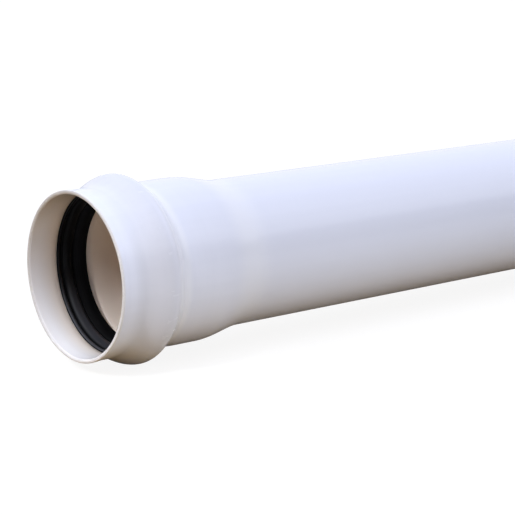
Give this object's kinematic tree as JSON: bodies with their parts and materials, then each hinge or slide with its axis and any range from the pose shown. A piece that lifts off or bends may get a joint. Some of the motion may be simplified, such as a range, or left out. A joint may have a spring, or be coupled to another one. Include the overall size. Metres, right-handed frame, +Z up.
{
  "type": "gasketed pvc pipe",
  "caption": "White plastic pipe with a formed bell end that holds a black rubber gasket in its raceway, and a bevelled spigot end that pushes into the bell of the next pipe.",
  "frame": {"origin": "on the floor under the middle of the pipe's length", "axes": "+X along the pipe from its bell to its spigot, sloping down by the 0.38 degrees at which the pipe rests on its bulge and its spigot; +Z up"},
  "size_m": [3.1818, 0.2, 0.2],
  "materials": {
    "white_pvc": "cool white extruded plastic with a soft sheen",
    "black_rubber": "satin black moulded rubber"
  },
  "bodies": {
    "root": {"pipe": "white_pvc", "gasket": "black_rubber"}
  },
  "joints": []
}
